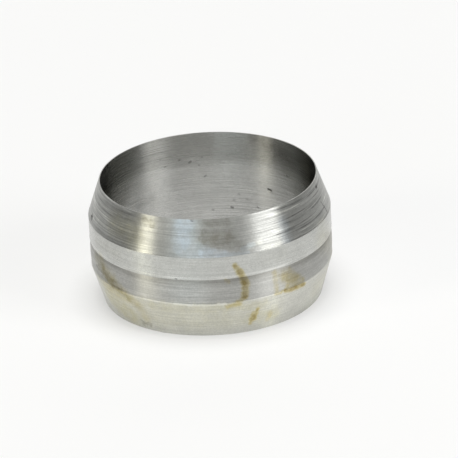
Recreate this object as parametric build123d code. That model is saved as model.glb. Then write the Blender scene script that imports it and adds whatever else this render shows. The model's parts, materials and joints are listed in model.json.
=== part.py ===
"""Conical insert: a compression ring turned from steel as one piece.

The bore slips over a tube. The two tapered ends are squeezed between the body of a
fitting and its nut, so that the thin rims grip the tube. Between the tapers the ring has
two plain bands, one from each turning set-up, which meet in a fine raised witness line.

Millimetres, +Z up. The origin is on the bore's axis, at the lower end face that the ring stands on.
"""

import os

from build123d import *

# The tube that slips in, and the clearance all round it
TUBE_DIAMETER = 28.0
TUBE_CLEARANCE = 0.05

# Wall between the bore and the outer bands
BAND_WALL = 1.75

# Flat end faces, measured outwards from the bore
UPPER_RIM_WIDTH = 0.12
LOWER_RIM_WIDTH = 0.25

# Heights, from the lower end face upwards
LOWER_CONE_HEIGHT = 5.1
LOWER_BAND_HEIGHT = 3.55
UPPER_BAND_HEIGHT = 2.95
UPPER_CONE_HEIGHT = 4.7

# Fine form of the outside
WITNESS_HEIGHT = 0.05  # how far the witness line stands proud of the bands
WITNESS_WIDTH = 0.3
BAND_EDGE_RADIUS = 0.4  # where a band turns into a cone

# What follows from them
bore_radius = TUBE_DIAMETER / 2 + TUBE_CLEARANCE
band_radius = bore_radius + BAND_WALL
lower_band_z = LOWER_CONE_HEIGHT
witness_z = lower_band_z + LOWER_BAND_HEIGHT
upper_cone_z = witness_z + UPPER_BAND_HEIGHT
overall_height = upper_cone_z + UPPER_CONE_HEIGHT


def ring_section():
    """Half section of the ring in the XZ plane, as radius and height, with its band edges rounded."""
    outline = Polyline(
        (bore_radius, 0),
        (bore_radius + LOWER_RIM_WIDTH, 0),
        (band_radius, lower_band_z),
        (band_radius, witness_z - WITNESS_WIDTH / 2),
        (band_radius + WITNESS_HEIGHT, witness_z),
        (band_radius, witness_z + WITNESS_WIDTH / 2),
        (band_radius, upper_cone_z),
        (bore_radius + UPPER_RIM_WIDTH, overall_height),
        (bore_radius, overall_height),
        close=True,
    )
    section = make_face(outline)
    band_edges = [
        section.vertices().sort_by_distance((band_radius, z))[0]
        for z in (lower_band_z, upper_cone_z)
    ]
    return Plane.XZ * fillet(band_edges, BAND_EDGE_RADIUS)


def conical_insert():
    """The whole ring, revolved about the bore's axis."""
    return revolve(ring_section(), Axis.Z)


os.makedirs("parts", exist_ok=True)
ring = conical_insert()
ring.label = "conical_insert"
export_step(ring, "parts/conical_insert.step")
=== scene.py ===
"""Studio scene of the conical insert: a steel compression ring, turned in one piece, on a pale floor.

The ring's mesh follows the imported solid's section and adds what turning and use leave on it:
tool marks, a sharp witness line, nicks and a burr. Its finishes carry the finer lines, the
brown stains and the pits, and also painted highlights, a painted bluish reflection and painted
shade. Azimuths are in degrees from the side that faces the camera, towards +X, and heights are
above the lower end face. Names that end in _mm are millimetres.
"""

import json
import logging
import math
from dataclasses import dataclass
from enum import Enum
from typing import Any, Iterable, Sequence

import bpy
import numpy as np
from mathutils import Matrix, Vector


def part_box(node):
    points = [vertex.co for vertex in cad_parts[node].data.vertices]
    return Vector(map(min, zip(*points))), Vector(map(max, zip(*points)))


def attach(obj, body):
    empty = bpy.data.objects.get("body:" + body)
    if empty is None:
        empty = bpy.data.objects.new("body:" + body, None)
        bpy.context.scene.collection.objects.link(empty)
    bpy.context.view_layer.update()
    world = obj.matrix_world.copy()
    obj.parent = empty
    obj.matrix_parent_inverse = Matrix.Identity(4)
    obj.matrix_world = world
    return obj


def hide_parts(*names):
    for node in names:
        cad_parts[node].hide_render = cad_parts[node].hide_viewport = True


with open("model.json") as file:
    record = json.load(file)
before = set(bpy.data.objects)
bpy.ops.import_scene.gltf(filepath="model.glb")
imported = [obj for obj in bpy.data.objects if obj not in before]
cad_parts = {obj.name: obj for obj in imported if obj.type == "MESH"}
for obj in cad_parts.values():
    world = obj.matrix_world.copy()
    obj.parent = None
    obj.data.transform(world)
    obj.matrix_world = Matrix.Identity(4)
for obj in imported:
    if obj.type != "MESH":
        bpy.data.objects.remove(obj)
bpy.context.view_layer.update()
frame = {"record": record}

CAD_NODE = "conical_insert"
BODY = "root"
MM = 0.001
PICTURE_SIDE = 458

Colour = tuple[float, float, float]
Link = bpy.types.NodeSocket

log = logging.getLogger("conical_insert")


class Zone(Enum):
    """The turned faces of the ring, in the order of its section from the lower end face outwards."""

    LOWER_RIM = 0
    LOWER_CONE = 1
    LOWER_BAND = 2
    UPPER_BAND = 3
    UPPER_CONE = 4
    UPPER_RIM = 5
    BORE = 6


@dataclass(frozen=True)
class RingSizes:
    """Section of the ring in millimetres. The bore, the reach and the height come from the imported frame."""

    bore_radius: float
    reach: float
    height: float
    lower_cone_height: float = 5.1
    lower_band_height: float = 3.55
    upper_band_height: float = 2.95
    upper_rim_width: float = 0.12
    lower_rim_width: float = 0.25
    witness_height: float = 0.05
    witness_width: float = 0.3
    crest_rise: float = 0.03
    crest_wear: float = 0.025

    @classmethod
    def from_frame(cls, record: dict[str, Any]) -> "RingSizes":
        """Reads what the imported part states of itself.

        Args:
            record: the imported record, with its mounts.

        Returns:
            The section's sizes.
        """
        bore = next(m for m in record["mounts"] if m["kind"] == "bore")
        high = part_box(CAD_NODE)[1]
        return cls(bore["dims"]["r_mm"], high.x / MM, high.z / MM)

    @property
    def band_radius(self) -> float:
        """Radius of the two plain bands."""
        return self.reach - self.witness_height

    @property
    def witness_z(self) -> float:
        """Height of the witness line between the bands."""
        return self.lower_cone_height + self.lower_band_height


@dataclass(frozen=True)
class Cut:
    """A groove right round a face, in millimetres: its place along the face, its width and its depth."""

    place: float
    width: float
    depth: float


@dataclass(frozen=True)
class ToolMarks:
    """What the turning tool left on a face, in millimetres, as real grooves in the mesh.

    The step is the distance between the mesh's points along the face. The barrel is how far the
    ends of the face fall behind its middle.
    """

    step: float
    feed: float
    depth: float
    hairlines: int = 0
    hairline_depth: float = 0.0
    barrel: float = 0.0
    cuts: tuple[Cut, ...] = ()


@dataclass(frozen=True)
class Stretch:
    """A straight run of the section, from start to end as radius and height in millimetres."""

    zone: Zone
    start: tuple[float, float]
    end: tuple[float, float]

    @property
    def length(self) -> float:
        """Length of the run."""
        return math.dist(self.start, self.end)

    @property
    def outward(self) -> tuple[float, float]:
        """Unit normal out of the steel, as radius and height."""
        (r0, z0), (r1, z1) = self.start, self.end
        return (z1 - z0) / self.length, (r0 - r1) / self.length


@dataclass(frozen=True)
class Dent:
    """A knock that pushed the steel at one place, in millimetres, along the radius and the height."""

    azimuth: float
    radius: float
    height: float
    width: float
    push: tuple[float, float]


TOOL_MARKS: dict[Zone, ToolMarks] = {
    Zone.LOWER_RIM: ToolMarks(step=0.09, feed=0.2, depth=0.0),
    Zone.LOWER_CONE: ToolMarks(
        step=0.12, feed=0.31, depth=0.002, hairlines=24, hairline_depth=0.004,
        cuts=(Cut(0.55, 0.16, 0.014),),
    ),
    Zone.LOWER_BAND: ToolMarks(
        step=0.06, feed=0.29, depth=0.003, hairlines=40, hairline_depth=0.006, barrel=0.08
    ),
    Zone.UPPER_BAND: ToolMarks(step=0.1, feed=0.24, depth=0.0015, hairlines=24, hairline_depth=0.004),
    Zone.UPPER_CONE: ToolMarks(
        step=0.05, feed=0.27, depth=0.0015, hairlines=90, hairline_depth=0.004,
        cuts=(
            Cut(0.22, 0.1, 0.02), Cut(0.62, 0.07, 0.01), Cut(2.55, 0.08, 0.011),
            Cut(3.15, 0.07, 0.011), Cut(3.7, 0.07, 0.013), Cut(4.2, 0.06, 0.01),
        ),
    ),
    Zone.UPPER_RIM: ToolMarks(step=0.06, feed=0.2, depth=0.0),
    Zone.BORE: ToolMarks(step=0.25, feed=0.5, depth=0.0006, hairlines=14, hairline_depth=0.0015),
}

DENTS: tuple[Dent, ...] = (
    Dent(azimuth=42.8, radius=14.12, height=16.3, width=0.45, push=(0.0, -0.1)),
    Dent(azimuth=-9.1, radius=14.12, height=16.3, width=0.35, push=(0.03, -0.08)),
    Dent(azimuth=74.4, radius=14.45, height=15.5, width=0.4, push=(-0.07, 0.0)),
    Dent(azimuth=-79.5, radius=15.52, height=12.4, width=0.45, push=(-0.09, 0.0)),
    Dent(azimuth=-71.0, radius=15.8, height=6.45, width=0.35, push=(-0.06, 0.0)),
    Dent(azimuth=-28.1, radius=14.3, height=0.0, width=0.35, push=(0.08, 0.0)),
    Dent(azimuth=144.8, radius=14.05, height=8.5, width=0.45, push=(0.06, 0.0)),
)


def groove(along: np.ndarray, place: float, width: float) -> np.ndarray:
    """A rounded groove of depth 1 at a place, as its depth at each point along a face."""
    return np.exp(-(((along - place) / width) ** 2))


def away_from(middle: float, turn: np.ndarray) -> np.ndarray:
    """Signed angles from a middle to azimuths, the short way round, in radians."""
    return (turn - middle + math.pi) % math.tau - math.pi


class TurnedRing:
    """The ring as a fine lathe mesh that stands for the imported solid."""

    NAME = "turned_ring"
    SEGMENTS = 320
    LEAST_STEPS = 2
    EDGE_FADE_MM = 0.12
    DENT_FALL = 2.0
    SHARP_ANGLE_DEG = 40.0
    UV_NAME = "OFBake"
    UV_MARGIN = 0.002

    # How uneven the tool marks are. A pair holds the lowest and the highest of a random draw.
    SEED = 28
    WAVES = 5
    WAVE_SHARE = 0.3
    LINE_WEIGHTS = (0.4, 1.0)
    HAIRLINE_STEPS = (1.1, 2.4)
    HAIRLINE_REACHES = (0.25, 1.6)
    HAIRLINE_SHARES = (0.3, 1.0)
    CUT_WAVE = 0.3

    def __init__(self, sizes: RingSizes) -> None:
        """Keeps the sizes and works out the section.

        Args:
            sizes: the section's sizes.
        """
        self.sizes = sizes
        self.rng = np.random.default_rng(self.SEED)
        self.stretches = self.section()

    def section(self) -> list[Stretch]:
        """The closed section, from the lower bore edge outwards, up the outside and down the bore."""
        s = self.sizes
        band, bore, half = s.band_radius, s.bore_radius, s.witness_width / 2
        upper_cone_z = s.witness_z + s.upper_band_height
        corners = [
            (Zone.LOWER_RIM, (bore, 0.0)),
            (Zone.LOWER_CONE, (bore + s.lower_rim_width, 0.0)),
            (Zone.LOWER_BAND, (band, s.lower_cone_height)),
            (Zone.UPPER_BAND, (band, s.witness_z - half)),
            (Zone.UPPER_BAND, (s.reach - s.crest_wear, s.witness_z + s.crest_rise)),
            (Zone.UPPER_BAND, (band, s.witness_z + half)),
            (Zone.UPPER_CONE, (band, upper_cone_z)),
            (Zone.UPPER_RIM, (bore + s.upper_rim_width, s.height)),
            (Zone.BORE, (bore, s.height)),
        ]
        ends = [point for _, point in corners[1:] + corners[:1]]
        return [Stretch(zone, start, end) for (zone, start), end in zip(corners, ends)]

    def groove_depths(self, stretch: Stretch, along: np.ndarray, turn: np.ndarray) -> np.ndarray:
        """Depth of the tool marks below a face.

        Args:
            stretch: the run of the section.
            along: places along the run, in millimetres.
            turn: azimuths round the ring, in radians.

        Returns:
            Depths in millimetres, one row per azimuth and one column per place.
        """
        marks = TOOL_MARKS[stretch.zone]
        feed = along / marks.feed
        line = np.floor(feed).astype(int)
        lines = line.max() + 1
        wave = np.zeros((len(turn), lines))
        for count in range(1, self.WAVES + 1):
            wave += np.cos(count * turn[:, None] + self.rng.uniform(0, math.tau, lines)) / count
        weight = self.rng.uniform(*self.LINE_WEIGHTS, lines) * (1 + self.WAVE_SHARE * wave)
        depth = marks.depth * (1 - np.cos(math.tau * feed)) / 2 * weight[:, line]
        for _ in range(marks.hairlines):
            place = self.rng.uniform(0, stretch.length)
            width = self.rng.uniform(*self.HAIRLINE_STEPS) * marks.step
            middle = self.rng.uniform(-math.pi, math.pi)
            away = np.abs(away_from(middle, turn)) / self.rng.uniform(*self.HAIRLINE_REACHES)
            arc = np.sqrt(np.clip(1 - away, 0, 1))
            deepest = marks.hairline_depth * self.rng.uniform(*self.HAIRLINE_SHARES)
            depth += deepest * arc[:, None] * groove(along, place, width)
        for cut in marks.cuts:
            uneven = 1 - self.CUT_WAVE + self.CUT_WAVE * np.cos(turn + self.rng.uniform(0, math.tau))
            depth += cut.depth * uneven[:, None] * groove(along, cut.place, cut.width)
        edge = np.minimum(along, stretch.length - along) / self.EDGE_FADE_MM
        bow = marks.barrel * (2 * along / stretch.length - 1) ** 2
        return depth * np.clip(edge, 0, 1) + bow

    def surface(self) -> tuple[np.ndarray, np.ndarray, np.ndarray]:
        """The mesh's points.

        Returns:
            Points in metres as azimuth by section place by axis, the zone number of each section
            place and the length along the section up to each place, with the whole length at the end.
        """
        turn = np.linspace(0, math.tau, self.SEGMENTS, endpoint=False)
        radii, heights, zones, lengths = [], [], [], []
        run = 0.0
        for stretch in self.stretches:
            count = max(self.LEAST_STEPS, math.ceil(stretch.length / TOOL_MARKS[stretch.zone].step))
            along = np.arange(count) * stretch.length / count
            share = along / stretch.length
            depth = self.groove_depths(stretch, along, turn)
            out_r, out_z = stretch.outward
            (r0, z0), (r1, z1) = stretch.start, stretch.end
            radii.append(r0 + (r1 - r0) * share - out_r * depth)
            heights.append(z0 + (z1 - z0) * share - out_z * depth)
            zones += [stretch.zone.value] * count
            lengths += list(run + along)
            run += stretch.length
        radius, height = np.concatenate(radii, 1), np.concatenate(heights, 1)
        for dent in DENTS:
            self.knock(dent, turn, radius, height)
        points = np.stack([radius * np.sin(turn)[:, None], -radius * np.cos(turn)[:, None], height], 2)
        return points * MM, np.array(zones), np.array(lengths + [run])

    def knock(self, dent: Dent, turn: np.ndarray, radius: np.ndarray, height: np.ndarray) -> None:
        """Pushes the points near a dent, in place.

        Args:
            dent: the place and the push.
            turn: azimuths of the rows, in radians.
            radius: radii in millimetres, one row per azimuth.
            height: heights in millimetres, one row per azimuth.
        """
        around = away_from(math.radians(dent.azimuth), turn)
        gap = np.hypot(radius - dent.radius, height - dent.height)
        away = np.hypot(around[:, None] * dent.radius, gap) / dent.width
        share = np.exp(-(self.DENT_FALL * away**2))
        radius += dent.push[0] * share
        height += dent.push[1] * share

    def build(self, materials: Sequence[bpy.types.Material]) -> bpy.types.Object:
        """Makes the mesh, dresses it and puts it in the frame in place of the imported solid.

        Args:
            materials: one finish for each zone, in the order of Zone.

        Returns:
            The ring's object.
        """
        points, zones, lengths = self.surface()
        turns, places = points.shape[:2]
        row, column = np.meshgrid(np.arange(turns), np.arange(places), indexing="ij")
        next_row, next_column = (row + 1) % turns, (column + 1) % places
        corners = [(row, column), (next_row, column), (next_row, next_column), (row, next_column)]
        faces = np.stack([r * places + c for r, c in corners], 2).reshape(-1, 4)

        mesh = bpy.data.meshes.new(self.NAME)
        mesh.from_pydata(points.reshape(-1, 3).tolist(), [], faces.tolist())
        for material in materials:
            mesh.materials.append(material)
        mesh.polygons.foreach_set("material_index", np.tile(zones, turns).astype(np.int32))
        mesh.polygons.foreach_set("use_smooth", np.ones(len(faces), bool))
        mesh.set_sharp_from_angle(angle=math.radians(self.SHARP_ANGLE_DEG))
        self.unroll(mesh, row, column, lengths)
        mesh.validate()
        mesh.update()

        ring = bpy.data.objects.new(self.NAME, mesh)
        bpy.context.scene.collection.objects.link(ring)
        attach(ring, BODY)
        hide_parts(CAD_NODE)
        return ring

    def unroll(self, mesh: bpy.types.Mesh, row: np.ndarray, column: np.ndarray, lengths: np.ndarray) -> None:
        """Lays the surface flat in one sheet: round the ring by length along the section.

        Args:
            mesh: the ring's mesh, with its faces in the order of row and column.
            row: azimuth number of each face.
            column: section place of each face.
            lengths: length along the section up to each place, and the whole length.
        """
        across = np.stack([row, row + 1, row + 1, row], 2) / self.SEGMENTS
        up = np.stack([lengths[column + side] for side in (0, 0, 1, 1)], 2) / lengths[-1]
        flat = np.stack([across, up], 3) * (1 - 2 * self.UV_MARGIN) + self.UV_MARGIN
        layer = mesh.uv_layers.new(name=self.UV_NAME)
        layer.data.foreach_set("uv", flat.astype(np.float32).ravel())


@dataclass(frozen=True)
class Noise:
    """Settings of a noise: how fine it is, its octaves and how strong the finer ones are."""

    scale: float
    detail: float = 2.0
    roughness: float = 0.5


class Blend(Enum):
    """How a second colour goes onto the first."""

    OVER = "MIX"
    STAIN = "MULTIPLY"


class NodeSheet:
    """A node tree under construction, with short calls that add a node and wire its inputs."""

    def __init__(self, tree: bpy.types.NodeTree) -> None:
        """Keeps the material's or the group's node tree."""
        self.tree = tree

    def feed(self, socket: Link, value: Any) -> None:
        """Links a socket to another, or sets its value."""
        if isinstance(value, bpy.types.NodeSocket):
            self.tree.links.new(value, socket)
        else:
            socket.default_value = value

    def add(self, kind: str, inputs: dict[Any, Any] | None = None, **settings: Any) -> bpy.types.Node:
        """Adds a node.

        Args:
            kind: Blender's name for the node.
            inputs: a link or a value for each socket, by its name or number.
            settings: the node's own attributes.

        Returns:
            The node.
        """
        node = self.tree.nodes.new(kind)
        for name, value in settings.items():
            setattr(node, name, value)
        for key, value in (inputs or {}).items():
            self.feed(node.inputs[key], value)
        return node

    def math(self, operation: str, *values: Any, clamp: bool = False) -> Link:
        """A Math node's result."""
        node = self.add("ShaderNodeMath", dict(enumerate(values)), operation=operation, use_clamp=clamp)
        return node.outputs[0]

    def vector(self, operation: str, *values: Any) -> Link:
        """A Vector Math node's result, which is a number for a dot product or a length."""
        node = self.add("ShaderNodeVectorMath", dict(enumerate(values)), operation=operation)
        return node.outputs["Value" if operation in ("DOT_PRODUCT", "LENGTH") else "Vector"]

    def scale(self, vector: Any, factor: Any) -> Link:
        """A vector times a number."""
        node = self.add("ShaderNodeVectorMath", {0: vector, "Scale": factor}, operation="SCALE")
        return node.outputs["Vector"]

    def combine(self, x: Any, y: Any, z: Any) -> Link:
        """A vector of three numbers."""
        return self.add("ShaderNodeCombineXYZ", {"X": x, "Y": y, "Z": z}).outputs[0]

    def ramp(self, value: Any, low: Any, high: Any, start: Any = 0.0, end: Any = 1.0) -> Link:
        """Takes a value that runs from low to high smoothly from start to end."""
        sockets = {"Value": value, "From Min": low, "From Max": high, "To Min": start, "To Max": end}
        node = self.add("ShaderNodeMapRange", sockets, interpolation_type="SMOOTHSTEP")
        return node.outputs["Result"]

    def noise(self, place: Any, look: Noise, output: str = "Fac") -> Link:
        """Smooth noise about a half, as a number or, from the output Color, as a vector."""
        sockets = {"Vector": place, "Scale": look.scale, "Detail": look.detail, "Roughness": look.roughness}
        return self.add("ShaderNodeTexNoise", sockets).outputs[output]

    def mix(self, share: Any, first: Any, second: Any, blend: Blend = Blend.OVER) -> Link:
        """Mixes two colours."""
        sockets = {0: share, 6: first, 7: second}
        node = self.add("ShaderNodeMix", sockets, data_type="RGBA", blend_type=blend.value)
        return node.outputs[2]

    def group(self, tree: bpy.types.NodeTree, inputs: dict[str, Any]) -> bpy.types.Node:
        """Places a node group."""
        return self.add("ShaderNodeGroup", inputs, node_tree=tree)


def opaque(colour: Colour) -> tuple[float, float, float, float]:
    """A colour with full alpha."""
    return (*colour, 1.0)


class GroupSheet(NodeSheet):
    """A shader node group under construction, with its given inputs and its results."""

    def __init__(
        self, name: str, outputs: Iterable[str], vectors: Iterable[str], numbers: Iterable[str] = ()
    ) -> None:
        """Starts the group.

        Args:
            name: the group's name.
            outputs: names of its outputs, which are all numbers.
            vectors: names of its inputs that are vectors.
            numbers: names of its inputs that are numbers.
        """
        super().__init__(bpy.data.node_groups.new(name, "ShaderNodeTree"))
        for sockets, side, kind in (
            (vectors, "INPUT", "NodeSocketVector"),
            (numbers, "INPUT", "NodeSocketFloat"),
            (outputs, "OUTPUT", "NodeSocketFloat"),
        ):
            for socket in sockets:
                self.tree.interface.new_socket(socket, in_out=side, socket_type=kind)
        self.given = self.tree.nodes.new("NodeGroupInput").outputs
        self.results = self.tree.nodes.new("NodeGroupOutput").inputs

    def give(self, name: str, value: Any) -> None:
        """Sends a value out of the group."""
        self.feed(self.results[name], value)


@dataclass(frozen=True)
class Stroke:
    """A mark on the unrolled surface, from start to end as azimuth in degrees and height in millimetres."""

    start: tuple[float, float]
    end: tuple[float, float]
    width_mm: float
    strength: float
    softness: float = 0.85


RUST: tuple[Stroke, ...] = (
    # The curved run from the upper band down to the lower cone
    Stroke((10.6, 10.3), (12.5, 9.4), 0.6, 0.9),
    Stroke((12.5, 9.4), (14.4, 8.3), 0.72, 1.0),
    Stroke((14.4, 8.3), (15.4, 7.2), 0.78, 1.0),
    Stroke((15.4, 7.2), (14.6, 5.7), 0.78, 0.9),
    Stroke((14.2, 5.5), (11.0, 5.0), 0.5, 0.6),
    Stroke((12.0, 4.75), (6.5, 4.6), 0.6, 0.45),
    Stroke((6.0, 8.3), (7.4, 8.0), 0.4, 0.3),
    # The patch to its right: filled, with dark edges at its slanted side and its foot
    Stroke((36.6, 7.1), (41.6, 6.0), 1.5, 0.55, 0.9),
    Stroke((37.5, 5.7), (44.5, 5.4), 0.8, 0.5),
    Stroke((38.6, 7.8), (43.4, 6.4), 0.7, 0.32, 0.9),
    Stroke((43.4, 6.4), (47.2, 5.3), 0.75, 0.48, 0.9),
    Stroke((36.2, 5.05), (48.0, 4.8), 0.6, 0.95),
    Stroke((30.6, 5.1), (36.5, 5.1), 0.42, 0.42),
    Stroke((30.4, 8.2), (31.0, 5.3), 0.6, 0.36),
    Stroke((32.5, 7.4), (37.0, 6.4), 1.3, 0.2, 0.95),
    # The short slanted one on the lower cone and its neighbour
    Stroke((21.3, 3.5), (19.4, 2.3), 0.45, 0.85),
    Stroke((20.3, 2.8), (19.0, 2.0), 0.8, 0.85),
    Stroke((19.0, 2.0), (17.6, 1.3), 0.42, 0.75),
    Stroke((28.6, 2.4), (27.6, 1.4), 0.6, 0.32),
    # The brown trace in the dirt on the left, and the faint edge that runs down from it
    Stroke((-65.0, 8.2), (-61.0, 6.9), 1.3, 0.2),
    Stroke((-62.0, 6.7), (-54.5, 5.8), 1.3, 0.34),
    Stroke((-57.5, 5.6), (-46.5, 4.95), 1.2, 0.4, 0.9),
    Stroke((-46.5, 4.8), (-41.0, 3.9), 1.3, 0.26, 0.9),
    Stroke((-62.0, 4.5), (-45.0, 4.1), 1.1, 0.22),
    Stroke((-41.0, 3.9), (-36.0, 1.8), 1.2, 0.18),
)

# Bright chips along the lower band's edge, partly a painted edge highlight
CHIPS_AND_EDGE_HIGHLIGHT: tuple[Stroke, ...] = (
    Stroke((-19.0, 5.0), (-10.0, 4.95), 0.2, 0.8, 0.5),
    Stroke((-11.0, 4.9), (-3.0, 4.86), 0.17, 0.7, 0.5),
    Stroke((-3.0, 4.9), (2.0, 4.94), 0.15, 0.6, 0.5),
    Stroke((2.0, 5.0), (5.5, 5.0), 0.24, 0.85, 0.5),
)

# Dirt first, then painted shade
DIRT_AND_PAINTED_SHADE: tuple[Stroke, ...] = (
    # The smear above the lower cone on the left, which narrows as it runs down
    Stroke((-71.0, 8.0), (-64.0, 7.0), 1.1, 0.36, 0.8),
    Stroke((-70.0, 5.4), (-56.0, 5.3), 0.65, 0.34, 0.9),
    Stroke((-67.0, 6.8), (-58.0, 5.9), 1.0, 0.52, 0.6),
    Stroke((-61.0, 6.0), (-51.0, 5.2), 0.95, 0.6, 0.8),
    Stroke((-52.0, 5.1), (-45.0, 4.4), 0.95, 0.38, 0.9),
    Stroke((-45.0, 4.4), (-39.0, 3.3), 0.7, 0.2, 0.9),
    # A smudge near the foot
    Stroke((-40.0, 1.05), (-35.5, 0.75), 0.5, 0.5, 0.8),
    # Painted shade on the bands and on the upper cone: darker places that stand in for dark reflections and
    # dim parts of the highlights
    Stroke((-68.0, 10.4), (-50.0, 10.2), 1.7, 0.2, 0.95),
    Stroke((69.0, 9.4), (76.0, 8.4), 0.7, 0.3, 0.95),
    Stroke((-3.0, 14.2), (9.0, 13.9), 1.8, 0.6, 0.95),
    Stroke((-8.0, 14.6), (-5.5, 13.2), 1.3, 0.28, 0.95),
    Stroke((6.0, 13.4), (15.0, 12.8), 0.8, 0.26, 0.9),
    Stroke((-3.0, 15.9), (9.0, 15.8), 1.1, 0.4, 0.95),
    Stroke((-36.5, 15.7), (-30.5, 15.2), 0.95, 0.5, 0.95),
    Stroke((33.5, 7.7), (38.5, 7.5), 0.8, 0.2, 0.9),
    Stroke((25.0, 10.6), (35.0, 10.4), 1.5, 0.12, 0.95),
)

FILM: tuple[Stroke, ...] = (
    Stroke((-62.0, 3.0), (-46.0, 1.6), 2.4, 0.95, 0.75),
    Stroke((-68.0, 4.5), (-42.0, 4.3), 1.4, 0.75, 0.9),
    Stroke((-70.0, 7.5), (-54.0, 6.2), 1.8, 0.6, 0.9),
    Stroke((-54.0, 14.0), (-41.0, 13.6), 2.6, 0.65, 0.9),
    Stroke((-36.0, 2.6), (8.0, 2.6), 2.8, 0.42, 0.9),
    Stroke((-42.0, 4.2), (4.0, 4.2), 1.5, 0.6, 0.9),
    Stroke((2.0, 4.4), (24.0, 3.9), 1.2, 0.6, 0.9),
    Stroke((15.0, 2.2), (31.0, 2.0), 1.6, 0.5, 0.9),
    Stroke((66.0, 9.6), (84.0, 6.0), 3.2, 0.45, 0.9),
    Stroke((62.0, 3.0), (84.0, 3.0), 2.4, 0.3, 0.9),
)

# Painted bluish reflection on the upper cone, also at the foot and along the right side of its bright
# highlight on the right
PAINTED_BLUE_REFLECTION: tuple[Stroke, ...] = (
    Stroke((-13.0, 16.0), (-13.0, 13.8), 2.1, 0.72, 0.7),
    Stroke((-14.5, 12.9), (-4.0, 12.3), 1.4, 0.45, 0.5),
    Stroke((-4.0, 12.3), (6.0, 11.7), 0.95, 0.82, 0.5),
    Stroke((6.0, 11.7), (17.0, 11.6), 0.6, 0.6, 0.6),
    Stroke((15.0, 12.3), (20.5, 12.6), 0.5, 0.5, 0.7),
    Stroke((39.0, 14.2), (39.0, 11.9), 1.3, 0.45, 0.9),
)

# Painted highlights: brighter places on the upper band, the upper cone and the lower cone that stand in for
# reflected light
PAINTED_HIGHLIGHTS: tuple[Stroke, ...] = (
    Stroke((-35.0, 11.2), (-34.0, 8.9), 2.2, 1.0, 0.95),
    Stroke((18.0, 12.4), (24.0, 12.7), 0.6, 0.9, 0.9),
    Stroke((29.5, 4.4), (29.5, 0.6), 2.9, 0.85, 0.95),
    Stroke((57.0, 1.4), (70.0, 1.4), 2.4, 0.4, 0.95),
    Stroke((-43.0, 14.5), (-41.0, 12.0), 1.5, 0.9, 0.95),
    Stroke((26.0, 11.9), (34.0, 11.9), 0.6, 0.8, 0.95),
)

# Where the upper cone's tool lines show most, as darker lines and as bright lines that are painted glints
TOOL_LINE_AND_PAINTED_GLINT_PLACES: tuple[Stroke, ...] = (
    Stroke((43.0, 14.0), (90.0, 14.0), 4.0, 1.0, 0.4),
    Stroke((-90.0, 14.0), (-52.0, 14.0), 4.0, 0.75, 0.4),
)

OUTSIDE_PITS: tuple[Stroke, ...] = (
    Stroke((-80.6, 12.5), (-78.4, 12.3), 0.36, 0.95),
    Stroke((-71.6, 6.5), (-70.4, 6.4), 0.24, 0.7),
    Stroke((-17.6, 8.62), (-16.8, 8.6), 0.14, 0.7),
    Stroke((73.6, 15.5), (75.2, 15.45), 0.26, 0.75),
    Stroke((73.1, 13.6), (75.1, 12.5), 0.12, 0.8),
    Stroke((75.1, 12.5), (76.4, 11.65), 0.12, 0.8),
    Stroke((-9.6, 16.15), (-8.6, 16.1), 0.14, 0.5),
)

BORE_PITS: tuple[Stroke, ...] = (
    Stroke((-164.9, 12.78), (-164.4, 12.74), 0.24, 0.6),
    Stroke((-170.9, 12.3), (-170.2, 12.18), 0.26, 0.8),
    Stroke((-178.9, 10.08), (-178.1, 9.98), 0.24, 0.62),
    Stroke((146.0, 8.72), (144.2, 8.58), 0.22, 0.9),
    Stroke((168.2, 5.5), (167.3, 5.38), 0.24, 0.72),
    Stroke((163.9, 7.42), (163.2, 7.38), 0.22, 0.4),
    Stroke((178.6, 5.06), (178.0, 5.0), 0.22, 0.45),
    Stroke((132.6, 11.46), (131.8, 11.4), 0.22, 0.4),
    Stroke((153.2, 5.82), (152.6, 5.76), 0.2, 0.5),
    Stroke((166.8, 6.52), (166.2, 6.48), 0.2, 0.42),
    Stroke((159.4, 6.8), (158.8, 6.75), 0.2, 0.3),
    Stroke((-156.5, 12.15), (-156.1, 12.1), 0.22, 0.45),
    Stroke((-153.8, 13.32), (-153.4, 13.28), 0.2, 0.35),
    Stroke((-175.6, 11.7), (-175.2, 11.66), 0.2, 0.35),
    Stroke((-177.4, 12.82), (-177.0, 12.78), 0.2, 0.35),
    # Smudges near the lower edge on the left and under the rim on the right
    Stroke((-148.0, 8.1), (-138.0, 7.7), 1.0, 0.17, 1.0),
    Stroke((144.0, 15.0), (128.0, 13.8), 1.7, 0.34, 1.0),
    Stroke((153.0, 15.8), (141.0, 14.6), 1.9, 0.38, 1.0),
)


class Mark(Enum):
    """What use and age left on a face, and the highlights, reflection and shade painted on it."""

    # A painted bluish reflection
    PAINTED_BLUE_REFLECTION = "Blue Film"
    SCORES = "Hairlines"
    # Bright lines painted into the colour as glints
    GLINTS = "Glints"
    # Painted highlights
    PAINTED_HIGHLIGHTS = "Rubbed Places"
    # Painted shade just under the witness line
    GRIME = "Grime"
    # Partly worn edges, partly a painted edge highlight
    WEAR = "Wear"
    # Chips, partly a painted edge highlight
    CHIPS_AND_EDGE_HIGHLIGHT = "Edge Chips"
    OIL_FILM = "Oil Film"
    # Dirt, and painted shade
    DIRT_AND_PAINTED_SHADE = "Dirt"
    RUST = "Rust Runs"
    OUTSIDE_PITS = "Outside Pits"
    # Painted shade: the bore darker towards its upper mouth
    DULL_MOUTH = "Dull Mouth"
    BORE_PITS = "Bore Pits"


@dataclass(frozen=True)
class Drawing:
    """The strokes of a mark, and how far their edges wander in millimetres."""

    strokes: tuple[Stroke, ...]
    ragged_mm: float


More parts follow.
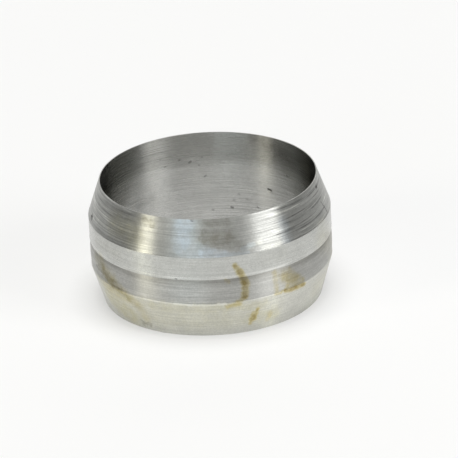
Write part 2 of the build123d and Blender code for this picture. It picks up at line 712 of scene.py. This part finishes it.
DRAWN: dict[Mark, Drawing] = {
    Mark.RUST: Drawing(RUST, 0.3),
    Mark.CHIPS_AND_EDGE_HIGHLIGHT: Drawing(CHIPS_AND_EDGE_HIGHLIGHT, 0.2),
    Mark.DIRT_AND_PAINTED_SHADE: Drawing(DIRT_AND_PAINTED_SHADE, 0.8),
    Mark.OIL_FILM: Drawing(FILM, 0.9),
    Mark.PAINTED_BLUE_REFLECTION: Drawing(PAINTED_BLUE_REFLECTION, 0.2),
    Mark.PAINTED_HIGHLIGHTS: Drawing(PAINTED_HIGHLIGHTS, 0.3),
    Mark.SCORES: Drawing(TOOL_LINE_AND_PAINTED_GLINT_PLACES, 0.3),
    Mark.GLINTS: Drawing(TOOL_LINE_AND_PAINTED_GLINT_PLACES, 0.3),
    Mark.OUTSIDE_PITS: Drawing(OUTSIDE_PITS, 0.06),
    Mark.BORE_PITS: Drawing(BORE_PITS, 0.08),
}


@dataclass(frozen=True)
class WornAndHighlightedEdge:
    """An edge brightened in places, partly worn and partly a painted highlight, at a height and as far as a
    reach, in millimetres.
    """

    height: float
    reach: float
    cover: float
    strength: float


class SurfaceEffects:
    """The node groups that the ring's finishes share.

    A spread holds the values of a noise at which its effect starts and is full.
    """

    SPREAD = (0.3, 0.7)
    GRAIN = Noise(4.5, detail=3.0, roughness=0.7)
    MOTTLE = Noise(0.55, detail=3.0)

    LINES = Noise(1.0, detail=3.0, roughness=0.65)
    HAIRLINES = Noise(1.0, detail=1.0)
    HAIRLINE_SCALES = (1.9, 1.9, 3.3)
    HAIRLINE_SPREAD = (0.57, 0.67)
    GLINT_SPREAD = (0.41, 0.31)

    # Depths are below the witness line and below the upper rim, in millimetres
    PATCHES = Noise(2.6, detail=3.0)
    PATCH_BLUR = 0.25
    WEAR_CORE_MM = 0.05
    # Painted shade just under the witness line
    UNDER_WITNESS_SHADE_DEPTHS = (1.5, 0.1)
    UNDER_WITNESS_SHADE_SHARES = (0.75, 1.0)
    MOUTH_DEPTHS = (5.2, 3.2)
    MOUTH_SHIFTS = (-0.3, 0.3)

    BLOTCHES = Noise(1.0, detail=4.0, roughness=0.6)
    BLOTCH_SHARES = (0.6, 1.15)
    SHAKE = Noise(1.4, detail=4.0)
    SHAKE_MIDDLE = (0.5, 0.5, 0.5)

    def __init__(self, sizes: RingSizes) -> None:
        """Builds every group once.

        Args:
            sizes: the section's sizes.
        """
        self.band_radius = sizes.band_radius
        self.grain = self.fine_grain()
        self.lines = self.turning_lines()
        self.stroke = self.one_stroke()
        self.drawn = {mark: self.strokes(mark.value, drawing) for mark, drawing in DRAWN.items()}
        self.edges = self.edge_wear_highlight_and_shade(sizes)

    def fine_grain(self) -> bpy.types.NodeTree:
        """Grain of the bare steel, and a slow mottle, from a place in space in millimetres."""
        looks = {"Grain": self.GRAIN, "Mottle": self.MOTTLE}
        sheet = GroupSheet("Fine Grain", looks, vectors=["Solid"])
        for name, look in looks.items():
            sheet.give(name, sheet.ramp(sheet.noise(sheet.given["Solid"], look), *self.SPREAD))
        return sheet.tree

    def turning_lines(self) -> bpy.types.NodeTree:
        """Fine lines round the ring, at a pitch in millimetres, that change along the way."""
        outputs = ["Lines", Mark.SCORES.value, Mark.GLINTS.value]
        sheet = GroupSheet("Turning Lines", outputs, vectors=["Round"], numbers=["Pitch", "Runs"])
        given = sheet.given
        per_mm = sheet.math("DIVIDE", 1.0, given["Pitch"])
        coarse = sheet.combine(given["Runs"], given["Runs"], per_mm)
        place = sheet.vector("MULTIPLY", given["Round"], coarse)
        fine = sheet.noise(sheet.vector("MULTIPLY", place, self.HAIRLINE_SCALES), self.HAIRLINES)
        sheet.give("Lines", sheet.ramp(sheet.noise(place, self.LINES), *self.SPREAD))
        sheet.give(Mark.SCORES.value, sheet.ramp(fine, *self.HAIRLINE_SPREAD))
        sheet.give(Mark.GLINTS.value, sheet.ramp(fine, *self.GLINT_SPREAD))
        return sheet.tree

    def edge_wear_highlight_and_shade(self, sizes: RingSizes) -> bpy.types.NodeTree:
        """Brighter band edges, partly worn and partly a painted highlight, painted shade under the witness
        line and painted shade in the bore's mouth.

        Args:
            sizes: the section's sizes.

        Returns:
            The group, which takes a place round the ring.
        """
        outputs = [mark.value for mark in (Mark.WEAR, Mark.GRIME, Mark.DULL_MOUTH)]
        sheet = GroupSheet("Worn Edges", outputs, vectors=["Round"])
        place = sheet.given["Round"]
        height = sheet.add("ShaderNodeSeparateXYZ", {0: place}).outputs["Z"]
        patches = sheet.noise(place, self.PATCHES)
        wear_and_highlight: Any = 0.0
        # Band edges brightened partly as worn metal and partly as a painted edge highlight
        for edge in (
            WornAndHighlightedEdge(sizes.witness_z + 0.1, reach=0.28, cover=0.6, strength=1.0),
            WornAndHighlightedEdge(sizes.lower_cone_height - 0.05, reach=0.13, cover=0.65, strength=0.5),
        ):
            gap = sheet.math("ABSOLUTE", sheet.math("SUBTRACT", height, edge.height))
            rubbed = sheet.ramp(gap, self.WEAR_CORE_MM, edge.reach, edge.strength, 0.0)
            patchy = sheet.ramp(patches, edge.cover - self.PATCH_BLUR, edge.cover)
            wear_and_highlight = sheet.math("MAXIMUM", wear_and_highlight, sheet.math("MULTIPLY", rubbed, patchy))
        sheet.give(Mark.WEAR.value, wear_and_highlight)
        # Painted shade: darker just under the witness line, unevenly
        under = sheet.ramp(height, *(sizes.witness_z - depth for depth in self.UNDER_WITNESS_SHADE_DEPTHS))
        uneven_shade = sheet.ramp(patches, *self.SPREAD, *self.UNDER_WITNESS_SHADE_SHARES)
        sheet.give(Mark.GRIME.value, sheet.math("MULTIPLY", under, uneven_shade))
        # Painted shade: the bore darker towards its upper mouth, with a ragged edge
        ragged = sheet.math("ADD", height, sheet.ramp(patches, *self.SPREAD, *self.MOUTH_SHIFTS))
        mouth = sheet.ramp(ragged, *(sizes.height - depth for depth in self.MOUTH_DEPTHS))
        sheet.give(Mark.DULL_MOUTH.value, mouth)
        return sheet.tree

    def one_stroke(self) -> bpy.types.NodeTree:
        """A soft round-ended stroke, from how far a point lies past its ends and off its line."""
        numbers = ["Middle", "Line", "Half", "Core", "Width"]
        sheet = GroupSheet("Stroke", ["Mask"], vectors=["Place", "Along", "Across"], numbers=numbers)
        given = sheet.given
        along = sheet.vector("DOT_PRODUCT", given["Place"], given["Along"])
        along = sheet.math("ABSOLUTE", sheet.math("SUBTRACT", along, given["Middle"]))
        past = sheet.math("MAXIMUM", sheet.math("SUBTRACT", along, given["Half"]), 0.0)
        off = sheet.vector("DOT_PRODUCT", given["Place"], given["Across"])
        off = sheet.math("SUBTRACT", off, given["Line"])
        gap = sheet.math("SQRT", sheet.math("MULTIPLY_ADD", off, off, sheet.math("MULTIPLY", past, past)))
        sheet.give("Mask", sheet.ramp(gap, given["Core"], given["Width"], 1.0, 0.0))
        return sheet.tree

    def strokes(self, name: str, drawing: Drawing) -> bpy.types.NodeTree:
        """Several strokes with ragged edges, as one mask.

        Args:
            name: the group's name.
            drawing: the strokes and how ragged they are.

        Returns:
            The group, which takes a place on the unrolled surface.
        """
        sheet = GroupSheet(name, ["Mask"], vectors=["Unrolled"])
        place = sheet.given["Unrolled"]
        blotches = sheet.ramp(sheet.noise(place, self.BLOTCHES), *self.SPREAD, *self.BLOTCH_SHARES)
        shake = sheet.vector("SUBTRACT", sheet.noise(place, self.SHAKE, "Color"), self.SHAKE_MIDDLE)
        place = sheet.vector("ADD", place, sheet.scale(shake, 2 * drawing.ragged_mm))
        total: Any = 0.0
        for stroke in drawing.strokes:
            start, end = (
                Vector((math.radians(azimuth) * self.band_radius, height, 0.0))
                for azimuth, height in (stroke.start, stroke.end)
            )
            along = (end - start).normalized()
            across = Vector((-along.y, along.x, 0.0))
            sockets = {
                "Place": place,
                "Along": along,
                "Across": across,
                "Middle": along.dot(start + end) / 2,
                "Line": across.dot(start),
                "Half": (end - start).length / 2,
                "Core": stroke.width_mm * (1 - stroke.softness),
                "Width": stroke.width_mm,
            }
            mask = sheet.group(self.stroke, sockets).outputs["Mask"]
            total = sheet.math("MAXIMUM", total, sheet.math("MULTIPLY", mask, stroke.strength))
        sheet.give("Mask", sheet.math("MULTIPLY", total, blotches, clamp=True))
        return sheet.tree


@dataclass(frozen=True)
class SteelFinish:
    """How one turned face looks.

    The lands between the tool marks and the grooves have their own roughness. Pitches are in
    millimetres and heights of marks in micrometres. Grazing is the share of light that the face
    still sends back at a flat angle, which an oily face loses.
    """

    name: str
    tint: Colour
    lands: float
    grooves: float
    anisotropy: float
    line_pitch: float
    line_runs: float
    line_contrast: float
    line_height: float
    grain: float = 0.08
    grazing: float = 1.0
    marks: tuple[Mark, ...] = ()


STEEL_TINT: Colour = (0.478, 0.482, 0.46)
WEAR_AND_HIGHLIGHT_TINT: Colour = (0.74, 0.74, 0.71)
PIT_TINT: Colour = (0.05, 0.045, 0.04)


@dataclass(frozen=True)
class Coat:
    """How a mark changes the steel under it.

    With a line pitch in millimetres, it lies only along lines round the ring. A thin tint is what
    half a layer shows. The depth is in micrometres. Roughening and dulling are what the mark adds
    to the roughness and takes from the metal.
    """

    tint: Colour
    blend: Blend = Blend.STAIN
    line_pitch: float = 0.0
    share: float = 1.0
    thin: Colour | None = None
    depth: float = 0.0
    roughening: float = 0.0
    dulling: float = 0.0


COATS: dict[Mark, Coat] = {
    # Brightens and blues the colour: a painted reflection
    Mark.PAINTED_BLUE_REFLECTION: Coat((1.2, 1.31, 1.46)),
    Mark.SCORES: Coat((0.58, 0.58, 0.58), line_pitch=1.1),
    # Brightens the colour along lines: painted glints
    Mark.GLINTS: Coat((1.55, 1.55, 1.53), line_pitch=1.1),
    # Brightens the colour: painted highlights
    Mark.PAINTED_HIGHLIGHTS: Coat((1.22, 1.22, 1.18)),
    # Darkens the colour: painted shade under the witness line
    Mark.GRIME: Coat((0.74, 0.73, 0.71)),
    # Brighter edges: partly worn metal, partly a painted edge highlight
    Mark.WEAR: Coat(WEAR_AND_HIGHLIGHT_TINT, Blend.OVER, share=0.5),
    # Bright chips that are partly a painted edge highlight
    Mark.CHIPS_AND_EDGE_HIGHLIGHT: Coat(WEAR_AND_HIGHLIGHT_TINT, Blend.OVER),
    Mark.OIL_FILM: Coat((0.93, 0.9, 0.74)),
    # Darkens the colour: dirt, and painted shade
    Mark.DIRT_AND_PAINTED_SHADE: Coat((0.42, 0.4, 0.32)),
    Mark.RUST: Coat((0.62, 0.5, 0.23), thin=(0.95, 0.87, 0.62), roughening=0.12, dulling=0.35),
    Mark.OUTSIDE_PITS: Coat(PIT_TINT, Blend.OVER, depth=40.0),
    # Darkens the colour: painted shade in the bore's mouth
    Mark.DULL_MOUTH: Coat((0.69, 0.69, 0.68)),
    Mark.BORE_PITS: Coat(PIT_TINT, Blend.OVER, depth=40.0),
}

FINISHES: dict[Zone, SteelFinish] = {
    Zone.LOWER_RIM: SteelFinish(
        "Faced lower rim", tint=STEEL_TINT, lands=0.3, grooves=0.4, anisotropy=0.4,
        line_pitch=0.12, line_runs=1.5, line_contrast=0.2, line_height=1.0,
    ),
    Zone.LOWER_CONE: SteelFinish(
        "Satin lower cone", tint=(0.63, 0.628, 0.58), lands=0.4, grooves=0.46, anisotropy=0.45,
        line_pitch=0.13, line_runs=1.4, line_contrast=0.13, line_height=0.7,
        marks=(Mark.PAINTED_HIGHLIGHTS, Mark.WEAR, Mark.CHIPS_AND_EDGE_HIGHLIGHT, Mark.OIL_FILM, Mark.DIRT_AND_PAINTED_SHADE, Mark.RUST),
    ),
    Zone.LOWER_BAND: SteelFinish(
        "Turned lower band", tint=(0.52, 0.52, 0.496), lands=0.37, grooves=0.44, anisotropy=0.93,
        line_pitch=0.11, line_runs=1.8, line_contrast=0.16, line_height=0.8,
        marks=(Mark.GRIME, Mark.WEAR, Mark.CHIPS_AND_EDGE_HIGHLIGHT, Mark.OIL_FILM, Mark.DIRT_AND_PAINTED_SHADE, Mark.RUST, Mark.OUTSIDE_PITS),
    ),
    Zone.UPPER_BAND: SteelFinish(
        "Satin upper band", tint=(0.545, 0.55, 0.525), lands=0.27, grooves=0.34, anisotropy=0.6,
        line_pitch=0.1, line_runs=1.6, line_contrast=0.16, line_height=0.5,
        marks=(Mark.PAINTED_HIGHLIGHTS, Mark.WEAR, Mark.OIL_FILM, Mark.DIRT_AND_PAINTED_SHADE, Mark.RUST, Mark.OUTSIDE_PITS),
    ),
    Zone.UPPER_CONE: SteelFinish(
        "Turned upper cone", tint=STEEL_TINT, lands=0.335, grooves=0.4, anisotropy=0.96,
        line_pitch=0.13, line_runs=1.3, line_contrast=0.22, line_height=0.5,
        marks=(
            Mark.PAINTED_BLUE_REFLECTION, Mark.SCORES, Mark.GLINTS, Mark.PAINTED_HIGHLIGHTS,
            Mark.OIL_FILM, Mark.DIRT_AND_PAINTED_SHADE, Mark.OUTSIDE_PITS,
        ),
    ),
    Zone.UPPER_RIM: SteelFinish(
        "Faced upper rim", tint=STEEL_TINT, lands=0.3, grooves=0.38, anisotropy=0.4,
        line_pitch=0.1, line_runs=1.5, line_contrast=0.2, line_height=1.0,
    ),
    Zone.BORE: SteelFinish(
        "Turned bore", tint=(0.605, 0.605, 0.583), lands=0.25, grooves=0.36, anisotropy=0.97,
        line_pitch=0.05, line_runs=1.2, line_contrast=0.11, line_height=0.05, grazing=0.25,
        marks=(Mark.DULL_MOUTH, Mark.BORE_PITS),
    ),
}


@dataclass(frozen=True)
class SurfacePlace:
    """Where a shaded point is: unrolled in millimetres, round the ring without a seam, and in space."""

    unrolled: Link
    round: Link
    solid: Link


@dataclass
class Layers:
    """What goes into the shader, as marks are laid on the steel."""

    colour: Link
    rough: Link
    metal: Any
    height: Link


class SteelFinisher:
    """Turns a finish into a Blender material."""

    SCORE_RUNS = 0.9
    HAIRLINE_SHADE = 0.45
    GLINT_SHADE = 1.5
    THIN_LAYER = 0.45
    LAND_SPREAD = (0.2, 0.8)
    BUMP_UNIT = 1e-6
    QUARTER_TURN = 0.25

    def __init__(self, effects: SurfaceEffects) -> None:
        """Keeps the node groups that every finish uses."""
        self.effects = effects

    def place(self, sheet: NodeSheet) -> SurfacePlace:
        """Adds the nodes that say where a shaded point is.

        Args:
            sheet: the material's nodes.

        Returns:
            Links to the place.
        """
        at = sheet.add("ShaderNodeTexCoord").outputs["Object"]
        x, y, z = sheet.add("ShaderNodeSeparateXYZ", {0: at}).outputs
        turn = sheet.math("ARCTAN2", x, sheet.math("MULTIPLY", y, -1.0))
        arc = sheet.math("MULTIPLY", turn, self.effects.band_radius)
        height = sheet.math("DIVIDE", z, MM)
        heading = sheet.vector("NORMALIZE", sheet.combine(x, y, 0.0))
        return SurfacePlace(
            unrolled=sheet.combine(arc, height, 0.0),
            round=sheet.vector("ADD", heading, sheet.combine(0.0, 0.0, height)),
            solid=sheet.scale(at, 1 / MM),
        )

    def masks(self, sheet: NodeSheet, finish: SteelFinish, place: SurfacePlace) -> dict[Mark, Link]:
        """Finds where each mark of a finish lies.

        Args:
            sheet: the material's nodes.
            finish: how the face looks.
            place: where the shaded point is.

        Returns:
            A mask for each mark, in the order in which they lie on the steel.
        """
        found: dict[Mark, Link] = {}
        edges: bpy.types.Node | None = None
        for mark in finish.marks:
            if mark in self.effects.drawn:
                drawn = sheet.group(self.effects.drawn[mark], {"Unrolled": place.unrolled})
                found[mark] = drawn.outputs["Mask"]
                pitch = COATS[mark].line_pitch
                if pitch:
                    sockets = {"Round": place.round, "Pitch": pitch, "Runs": self.SCORE_RUNS}
                    lines = sheet.group(self.effects.lines, sockets).outputs[mark.value]
                    found[mark] = sheet.math("MULTIPLY", found[mark], lines)
            else:
                edges = edges or sheet.group(self.effects.edges, {"Round": place.round})
                found[mark] = edges.outputs[mark.value]
        return found

    def bare_steel(self, sheet: NodeSheet, finish: SteelFinish, lines: Any, grain: Any) -> Link:
        """Colour of the clean turned face.

        Args:
            sheet: the material's nodes.
            finish: how the face looks.
            lines: outputs of the turning lines.
            grain: outputs of the grain.

        Returns:
            The colour.
        """
        dark = tuple(c * (1 - finish.line_contrast) for c in finish.tint)
        colour = sheet.mix(lines["Lines"], opaque(dark), opaque(finish.tint))
        # Darker hairlines, and bright lines that are painted glints
        for mark, shade in ((Mark.SCORES, self.HAIRLINE_SHADE), (Mark.GLINTS, self.GLINT_SHADE)):
            share = sheet.math("MULTIPLY", lines[mark.value], finish.line_contrast)
            colour = sheet.mix(share, colour, opaque(tuple(c * shade for c in finish.tint)))
        for name, depth in (("Grain", finish.grain), ("Mottle", finish.grain / 2)):
            shades = [opaque((1 + sign * depth,) * 3) for sign in (-1, 1)]
            colour = sheet.mix(1.0, colour, sheet.mix(grain[name], *shades), Blend.STAIN)
        return colour

    def lay(self, sheet: NodeSheet, layers: Layers, mask: Link, coat: Coat) -> None:
        """Lays a mark on what is there already.

        Args:
            sheet: the material's nodes.
            layers: what the shader gets so far.
            mask: where the mark lies.
            coat: how the mark changes the steel.
        """
        share = sheet.math("MULTIPLY", mask, coat.share) if coat.share < 1 else mask
        tint: Any = opaque(coat.tint)
        if coat.thin:
            stain = sheet.add("ShaderNodeValToRGB", {0: mask})
            steps = stain.color_ramp.elements
            steps[0].color, steps[1].color = opaque((1.0, 1.0, 1.0)), tint
            steps.new(self.THIN_LAYER).color = opaque(coat.thin)
            share, tint = 1.0, stain.outputs["Color"]
        layers.colour = sheet.mix(share, layers.colour, tint, coat.blend)
        if coat.roughening:
            layers.rough = sheet.math("ADD", layers.rough, sheet.math("MULTIPLY", mask, coat.roughening))
        if coat.dulling:
            layers.metal = sheet.math("SUBTRACT", layers.metal, sheet.math("MULTIPLY", mask, coat.dulling))
        if coat.depth:
            layers.height = sheet.math("SUBTRACT", layers.height, sheet.math("MULTIPLY", mask, coat.depth))

    def material(self, finish: SteelFinish) -> bpy.types.Material:
        """Makes the material of one face.

        Args:
            finish: how the face looks.

        Returns:
            The material.
        """
        material = bpy.data.materials.new(finish.name)
        material.use_nodes = True
        sheet = NodeSheet(material.node_tree)
        shader = material.node_tree.nodes["Principled BSDF"]
        place = self.place(sheet)
        pitch = {"Pitch": finish.line_pitch, "Runs": finish.line_runs}
        lines = sheet.group(self.effects.lines, {"Round": place.round, **pitch}).outputs
        grain = sheet.group(self.effects.grain, {"Solid": place.solid}).outputs
        height = sheet.math("SUBTRACT", lines["Lines"], lines[Mark.SCORES.value])
        layers = Layers(
            colour=self.bare_steel(sheet, finish, lines, grain),
            rough=sheet.ramp(lines["Lines"], *self.LAND_SPREAD, finish.grooves, finish.lands),
            metal=1.0,
            height=sheet.math("MULTIPLY", height, finish.line_height),
        )
        for mark, mask in self.masks(sheet, finish, place).items():
            self.lay(sheet, layers, mask, COATS[mark])

        bump = sheet.add("ShaderNodeBump", {"Height": layers.height, "Distance": self.BUMP_UNIT})
        tangent = sheet.add("ShaderNodeTangent", direction_type="RADIAL", axis="Z")
        for name, value in (
            ("Base Color", layers.colour),
            ("Metallic", layers.metal),
            ("Roughness", layers.rough),
            ("Specular Tint", opaque((finish.grazing,) * 3)),
            ("Anisotropic", finish.anisotropy),
            ("Anisotropic Rotation", self.QUARTER_TURN),
            ("Tangent", tangent.outputs[0]),
            ("Normal", bump.outputs[0]),
        ):
            sheet.feed(shader.inputs[name], value)
        return material


@dataclass(frozen=True)
class Softbox:
    """A soft lamp that points at the ring. Its level is how bright it looks, where 1 is white paper."""

    name: str
    azimuth: float
    elevation: float
    width: float
    tall: float
    level: float
    colour: Colour = (1.0, 1.0, 1.0)
    distance: float = 0.9

    def build(self, target: Vector) -> bpy.types.Object:
        """Makes the lamp.

        Args:
            target: the point that it faces.

        Returns:
            The lamp's object.
        """
        data = bpy.data.lights.new(self.name, "AREA")
        data.shape = "RECTANGLE"
        data.size, data.size_y = self.width, self.tall
        data.energy = self.level * math.pi * self.width * self.tall
        data.color = self.colour
        lamp = bpy.data.objects.new(self.name, data)
        towards = direction(self.azimuth, self.elevation)
        lamp.location = target + towards * self.distance
        lamp.rotation_euler = towards.to_track_quat("Z", "Y").to_euler()
        bpy.context.scene.collection.objects.link(lamp)
        return lamp


def direction(azimuth: float, elevation: float) -> Vector:
    """Unit vector from the ring at an azimuth and an elevation, in degrees."""
    a, e = math.radians(azimuth), math.radians(elevation)
    return Vector((math.sin(a) * math.cos(e), -math.cos(a) * math.cos(e), math.sin(e)))


SOFTBOXES: tuple[Softbox, ...] = (
    Softbox("window_right", 58.5, 23.0, width=0.42, tall=0.6, level=4.05),
    Softbox("window_edge", 38.0, 10.0, width=0.2, tall=0.28, level=1.25, colour=(1.0, 1.0, 0.98)),
    Softbox("window_left", -64.5, 17.0, width=0.21, tall=0.5, level=4.7, colour=(1.0, 0.96, 0.8)),
    Softbox("wall_left", -49.0, 13.0, width=0.3, tall=0.36, level=1.0, colour=(1.0, 1.0, 0.95)),
    Softbox("sky_front", -23.5, 11.0, width=0.5, tall=0.32, level=1.4, colour=(0.8, 0.94, 1.0)),
    Softbox(
        "front_fill", -8.0, 11.0, width=1.6, tall=0.4, level=0.47, colour=(1.0, 1.0, 0.97), distance=1.1
    ),
    Softbox("back_window", 175.0, 24.0, width=0.9, tall=0.4, level=1.0, colour=(1.0, 1.0, 0.98)),
)


class Studio:
    """The pale floor, the lamps, the surroundings and the camera."""

    FLOOR_RADII = (0.1, 0.4, 1.3)
    FLOOR_SEGMENTS = 96
    EDGE_RADIUS = 0.12
    EDGE_STEPS = 12
    FLOOR_COLOUR: Colour = (0.48, 0.48, 0.477)
    FLOOR_SHADE = 0.985
    FLOOR_MOTTLE = Noise(12.0, detail=3.0)
    FLOOR_ROUGHNESS = 0.9
    FLOOR_SHEEN = 0.1
    FLOOR_LIGHT: Colour = (1.0, 1.0, 0.995)
    FLOOR_GLOW = 0.44
    ROOM_COLOUR: Colour = (0.05, 0.05, 0.048)
    OVERHEAD_LEVEL = 2.4
    OVERHEAD_SPREAD_DEG = 40.0

    FOCAL_PIXELS = 5000.0
    SENSOR_MM = 36.0
    CAMERA_ELEVATION_DEG = 24.174
    CAMERA_ROLL_DEG = 2.909
    CAMERA_DISTANCE_MM = 656.07
    BASE_RIGHT_MM = -2.016
    BASE_DOWN_MM = 7.808
    CLIP_END = 10.0

    def __init__(self, sizes: RingSizes) -> None:
        """Keeps where the middle of a ring of these sizes is."""
        self.middle = Vector((0.0, 0.0, sizes.height * MM / 2))

    def floor(self) -> bpy.types.Object:
        """A round pale floor whose edge turns up."""
        rings = [(radius, 0.0) for radius in self.FLOOR_RADII]
        for step in range(1, self.EDGE_STEPS + 1):
            angle = math.radians(90 * step / self.EDGE_STEPS)
            rise = self.EDGE_RADIUS * (1 - math.cos(angle))
            rings.append((self.FLOOR_RADII[-1] + self.EDGE_RADIUS * math.sin(angle), rise))
        segments = self.FLOOR_SEGMENTS
        turns = [math.tau * k / segments for k in range(segments)]
        points = [(0.0, 0.0, 0.0)]
        points += [(r * math.cos(t), r * math.sin(t), z) for r, z in rings for t in turns]
        faces = [(0, 1 + k, 1 + (k + 1) % segments) for k in range(segments)]
        for ring in range(len(rings) - 1):
            first = 1 + ring * segments
            for k in range(segments):
                following = (k + 1) % segments
                outer = first + segments
                faces.append((first + k, outer + k, outer + following, first + following))
        mesh = bpy.data.meshes.new("pale_floor")
        mesh.from_pydata(points, [], faces)
        mesh.polygons.foreach_set("use_smooth", np.ones(len(faces), bool))
        mesh.materials.append(self.floor_paint())
        floor = bpy.data.objects.new("pale_floor", mesh)
        bpy.context.scene.collection.objects.link(floor)
        return floor

    def floor_paint(self) -> bpy.types.Material:
        """Matt white paint with a trace of mottle, which the camera and the steel see as a lit sheet."""
        material = bpy.data.materials.new("Pale floor paint")
        material.use_nodes = True
        sheet = NodeSheet(material.node_tree)
        shader = material.node_tree.nodes["Principled BSDF"]
        at = sheet.add("ShaderNodeTexCoord").outputs["Object"]
        shade = tuple(self.FLOOR_SHADE * c for c in self.FLOOR_COLOUR)
        mottle = sheet.noise(at, self.FLOOR_MOTTLE)
        sheet.feed(shader.inputs["Base Color"], sheet.mix(mottle, opaque(shade), opaque(self.FLOOR_COLOUR)))
        shader.inputs["Roughness"].default_value = self.FLOOR_ROUGHNESS
        shader.inputs["Specular IOR Level"].default_value = self.FLOOR_SHEEN
        rays = sheet.add("ShaderNodeLightPath").outputs
        seen = sheet.math("MAXIMUM", rays["Is Camera Ray"], rays["Is Glossy Ray"])
        seen = sheet.math("MAXIMUM", seen, rays["Is Transmission Ray"])
        shader.inputs["Emission Color"].default_value = opaque(self.FLOOR_LIGHT)
        sheet.feed(shader.inputs["Emission Strength"], sheet.math("MULTIPLY", seen, self.FLOOR_GLOW))
        material.cycles.emission_sampling = "NONE"
        return material

    def light(self) -> None:
        """The lamps and the dim room round them."""
        for box in SOFTBOXES:
            box.build(self.middle)
        data = bpy.data.lights.new("overhead", "SUN")
        data.energy = self.OVERHEAD_LEVEL
        data.angle = math.radians(self.OVERHEAD_SPREAD_DEG)
        bpy.context.scene.collection.objects.link(bpy.data.objects.new("overhead", data))
        world = bpy.data.worlds.new("Dim room")
        world.use_nodes = True
        background = world.node_tree.nodes["Background"]
        background.inputs["Color"].default_value = opaque(self.ROOM_COLOUR)
        background.inputs["Strength"].default_value = 1.0
        bpy.context.scene.world = world

    def camera(self) -> bpy.types.Object:
        """The camera of the photograph, which stands slightly rolled and sees the ring from above."""
        elevation, roll = math.radians(self.CAMERA_ELEVATION_DEG), math.radians(self.CAMERA_ROLL_DEG)
        ahead = Vector((0.0, math.cos(elevation), -math.sin(elevation)))
        level, down = Vector((1.0, 0.0, 0.0)), Vector((0.0, -math.sin(elevation), -math.cos(elevation)))
        right = level * math.cos(roll) + down * math.sin(roll)
        under = down * math.cos(roll) - level * math.sin(roll)
        data = bpy.data.cameras.new("photo_camera")
        data.sensor_width = self.SENSOR_MM
        data.lens = self.FOCAL_PIXELS * self.SENSOR_MM / PICTURE_SIDE
        data.clip_end = self.CLIP_END
        camera = bpy.data.objects.new("photo_camera", data)
        offset = right * self.BASE_RIGHT_MM + under * self.BASE_DOWN_MM + ahead * self.CAMERA_DISTANCE_MM
        turn = Matrix((right, -under, -ahead)).transposed().to_4x4()
        camera.matrix_world = Matrix.Translation(-offset * MM) @ turn
        bpy.context.scene.collection.objects.link(camera)
        bpy.context.scene.camera = camera
        return camera


def main() -> None:
    """Builds the studio and the ring, and reports each piece."""
    logging.basicConfig(level=logging.INFO, format="%(name)s: %(message)s")
    bpy.context.scene.view_settings.view_transform = "Standard"
    sizes = RingSizes.from_frame(frame["record"])
    studio = Studio(sizes)
    studio.camera()
    studio.light()
    log.info("floor %s", studio.floor().name)
    finisher = SteelFinisher(SurfaceEffects(sizes))
    materials = [finisher.material(FINISHES[zone]) for zone in Zone]
    ring = TurnedRing(sizes).build(materials)
    log.info("piece %s: %d faces, %d finishes", ring.name, len(ring.data.polygons), len(materials))


if __name__ == "__main__":
    main()
